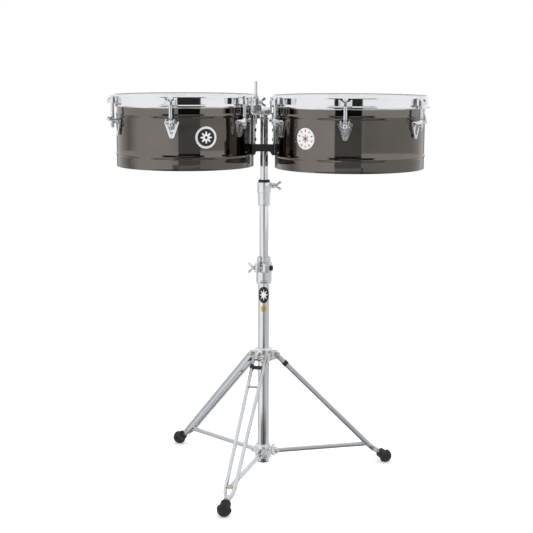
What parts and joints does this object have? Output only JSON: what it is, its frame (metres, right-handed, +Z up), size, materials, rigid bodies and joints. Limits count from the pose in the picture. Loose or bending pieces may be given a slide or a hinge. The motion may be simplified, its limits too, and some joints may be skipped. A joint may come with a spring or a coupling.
{
  "type": "pair of timbales on a tripod stand",
  "caption": "Pair of shallow metal-shell drums with hoops, lugs and tension rods, tilting on a height-adjustable chromed double-braced folding tripod stand.",
  "frame": {"origin": "centre of the flat bottom face of the centre post, 29 mm above the floor plane of the feet", "axes": "+Z up along the post; +X along the line of the drums towards the larger one; -Y towards the audience, +Y towards the player"},
  "size_m": [0.8075, 0.5921, 1.035],
  "materials": {
    "chrome": "mirror-bright plating",
    "black_nickel": "black nickel plating, mirror-bright, warm grey",
    "black_steel": "satin black enamel",
    "black_rubber": "moulded matt rubber",
    "black_plastic": "moulded, satin",
    "drum_head": "coated film, faint speckle",
    "small_badge": "polished ring around black enamel",
    "large_badge": "white enamel disc with a red and grey pattern"
  },
  "bodies": {
    "base": {"base_tube": "chrome", "base_plug": "black_plastic", "spider": "chrome", "base_clamp": "chrome"},
    "base_clamp_wing": {"base_clamp_wing": "chrome"},
    "lower_collar": {"lower_collar": "chrome"},
    "lower_collar_wing": {"lower_collar_wing": "chrome"},
    "leg_1": {"leg_1": "chrome", "foot_1": "black_rubber"},
    "strut_1": {"strut_1": "chrome"},
    "leg_2": {"leg_2": "chrome", "foot_2": "black_rubber"},
    "strut_2": {"strut_2": "chrome"},
    "leg_3": {"leg_3": "chrome", "foot_3": "black_rubber"},
    "strut_3": {"strut_3": "chrome"},
    "middle_tube": {"middle_tube": "chrome", "top_clamp": "chrome"},
    "top_clamp_wing": {"top_clamp_wing": "chrome"},
    "top_tube": {"top_tube": "chrome", "tilter_body": "chrome"},
    "tilter_wing": {"tilter_wing": "chrome"},
    "tilter": {"tilter_yoke": "chrome", "crossbar": "black_steel", "small_shell": "black_nickel", "small_head": "drum_head", "small_hoop": "chrome", "small_bracket": "chrome", "small_badge": "small_badge", "small_lug_1": "chrome", "small_lug_2": "chrome", "small_lug_3": "chrome", "small_lug_4": "chrome", "small_lug_5": "chrome", "small_lug_6": "chrome", "large_shell": "black_nickel", "large_head": "drum_head", "large_hoop": "chrome", "large_bracket": "chrome", "large_badge": "large_badge", "large_lug_1": "chrome", "large_lug_2": "chrome", "large_lug_3": "chrome", "large_lug_4": "chrome", "large_lug_5": "chrome", "large_lug_6": "chrome"},
    "cowbell_rod": {"cowbell_rod": "chrome"},
    "cowbell_rod_wing": {"cowbell_rod_wing": "chrome"},
    "small_tension_rod_1": {"small_tension_rod_1": "chrome"},
    "small_tension_rod_2": {"small_tension_rod_2": "chrome"},
    "small_tension_rod_3": {"small_tension_rod_3": "chrome"},
    "small_tension_rod_4": {"small_tension_rod_4": "chrome"},
    "small_tension_rod_5": {"small_tension_rod_5": "chrome"},
    "small_tension_rod_6": {"small_tension_rod_6": "chrome"},
    "large_tension_rod_1": {"large_tension_rod_1": "chrome"},
    "large_tension_rod_2": {"large_tension_rod_2": "chrome"},
    "large_tension_rod_3": {"large_tension_rod_3": "chrome"},
    "large_tension_rod_4": {"large_tension_rod_4": "chrome"},
    "large_tension_rod_5": {"large_tension_rod_5": "chrome"},
    "large_tension_rod_6": {"large_tension_rod_6": "chrome"}
  },
  "joints": [
    {"name": "leg_1_fold", "type": "hinge", "parent": "base", "child": "leg_1", "pos_m": [0.03172, 0.01224, 0.291], "axis": [-0.36, 0.933, 0], "range_deg": [0, 41.4]},
    {"name": "leg_2_fold", "type": "hinge", "parent": "base", "child": "leg_2", "pos_m": [-0.02646, 0.02135, 0.291], "axis": [-0.628, -0.7782, 0], "range_deg": [0, 41.4]},
    {"name": "leg_3_fold", "type": "hinge", "parent": "base", "child": "leg_3", "pos_m": [-0.00526, -0.03359, 0.291], "axis": [0.988, -0.1547, 0], "range_deg": [0, 41.4]},
    {"name": "collar_slide", "type": "slide", "parent": "base", "child": "lower_collar", "axis": [0, 0, 1], "range_m": [0, 0.153]},
    {"name": "strut_1_swing", "type": "hinge", "parent": "lower_collar", "child": "strut_1", "pos_m": [0.03172, 0.01224, 0.027], "axis": [-0.36, 0.933, 0], "range_deg": [0, 85.7]},
    {"name": "strut_2_swing", "type": "hinge", "parent": "lower_collar", "child": "strut_2", "pos_m": [-0.02646, 0.02135, 0.027], "axis": [-0.628, -0.7782, 0], "range_deg": [0, 85.7]},
    {"name": "strut_3_swing", "type": "hinge", "parent": "lower_collar", "child": "strut_3", "pos_m": [-0.00526, -0.03359, 0.027], "axis": [0.988, -0.1547, 0], "range_deg": [0, 85.7]},
    {"name": "middle_tube_slide", "type": "slide", "parent": "base", "child": "middle_tube", "axis": [0, 0, 1], "range_m": [-0.12, 0.15]},
    {"name": "top_tube_slide", "type": "slide", "parent": "middle_tube", "child": "top_tube", "axis": [0, 0, 1], "range_m": [0, 0.15]},
    {"name": "drums_tilt", "type": "hinge", "parent": "top_tube", "child": "tilter", "pos_m": [0, 0, 0.928], "axis": [-1, 0, 0], "range_deg": [0, 25]},
    {"name": "base_clamp_wing_turn", "type": "hinge", "parent": "base", "child": "base_clamp_wing", "pos_m": [-0.0213, -0.027, 0.528], "axis": [1, 0, 0], "continuous": true},
    {"name": "top_clamp_wing_turn", "type": "hinge", "parent": "middle_tube", "child": "top_clamp_wing", "pos_m": [0.028, 0, 0.739], "axis": [1, 0, 0], "continuous": true},
    {"name": "lower_collar_wing_turn", "type": "hinge", "parent": "lower_collar", "child": "lower_collar_wing", "pos_m": [0.02023, -0.01633, 0.041], "axis": [0.7782, -0.628, 0], "continuous": true},
    {"name": "tilter_wing_turn", "type": "hinge", "parent": "top_tube", "child": "tilter_wing", "pos_m": [0, 0.0105, 0.928], "axis": [0, 1, 0], "continuous": true},
    {"name": "cowbell_rod_wing_turn", "type": "hinge", "parent": "tilter", "child": "cowbell_rod_wing", "pos_m": [-0.005, -0.063, 0.954], "axis": [1, 0, 0], "continuous": true},
    {"name": "cowbell_rod_slide", "type": "slide", "parent": "tilter", "child": "cowbell_rod", "axis": [0, 0, 1], "range_m": [-0.03, 0.03]},
    {"name": "small_tension_rod_1_turn", "type": "hinge", "parent": "tilter", "child": "small_tension_rod_1", "pos_m": [-0.03766, 0.0965, 0.9], "axis": [0, 0, 1], "continuous": true},
    {"name": "small_tension_rod_2_turn", "type": "hinge", "parent": "tilter", "child": "small_tension_rod_2", "pos_m": [-0.2048, 0.193, 0.9], "axis": [0, 0, 1], "continuous": true},
    {"name": "small_tension_rod_3_turn", "type": "hinge", "parent": "tilter", "child": "small_tension_rod_3", "pos_m": [-0.37194, 0.0965, 0.9], "axis": [0, 0, 1], "continuous": true},
    {"name": "small_tension_rod_4_turn", "type": "hinge", "parent": "tilter", "child": "small_tension_rod_4", "pos_m": [-0.37194, -0.0965, 0.9], "axis": [0, 0, 1], "continuous": true},
    {"name": "small_tension_rod_5_turn", "type": "hinge", "parent": "tilter", "child": "small_tension_rod_5", "pos_m": [-0.2048, -0.193, 0.9], "axis": [0, 0, 1], "continuous": true},
    {"name": "small_tension_rod_6_turn", "type": "hinge", "parent": "tilter", "child": "small_tension_rod_6", "pos_m": [-0.03766, -0.0965, 0.9], "axis": [0, 0, 1], "continuous": true},
    {"name": "large_tension_rod_1_turn", "type": "hinge", "parent": "tilter", "child": "large_tension_rod_1", "pos_m": [0.0394, -0.103, 0.9], "axis": [0, 0, 1], "continuous": true},
    {"name": "large_tension_rod_2_turn", "type": "hinge", "parent": "tilter", "child": "large_tension_rod_2", "pos_m": [0.2178, -0.206, 0.9], "axis": [0, 0, 1], "continuous": true},
    {"name": "large_tension_rod_3_turn", "type": "hinge", "parent": "tilter", "child": "large_tension_rod_3", "pos_m": [0.3962, -0.103, 0.9], "axis": [0, 0, 1], "continuous": true},
    {"name": "large_tension_rod_4_turn", "type": "hinge", "parent": "tilter", "child": "large_tension_rod_4", "pos_m": [0.3962, 0.103, 0.9], "axis": [0, 0, 1], "continuous": true},
    {"name": "large_tension_rod_5_turn", "type": "hinge", "parent": "tilter", "child": "large_tension_rod_5", "pos_m": [0.2178, 0.206, 0.9], "axis": [0, 0, 1], "continuous": true},
    {"name": "large_tension_rod_6_turn", "type": "hinge", "parent": "tilter", "child": "large_tension_rod_6", "pos_m": [0.0394, 0.103, 0.9], "axis": [0, 0, 1], "continuous": true}
  ],
  "couplings": [
    {"joint": "leg_2_fold", "follows": "leg_1_fold", "ratio": 1},
    {"joint": "leg_3_fold", "follows": "leg_1_fold", "ratio": 1},
    {"joint": "collar_slide", "follows": "leg_1_fold", "m_per_rad": 0.21142},
    {"joint": "strut_1_swing", "follows": "leg_1_fold", "ratio": 2.0678},
    {"joint": "strut_2_swing", "follows": "leg_1_fold", "ratio": 2.0678},
    {"joint": "strut_3_swing", "follows": "leg_1_fold", "ratio": 2.0678}
  ]
}
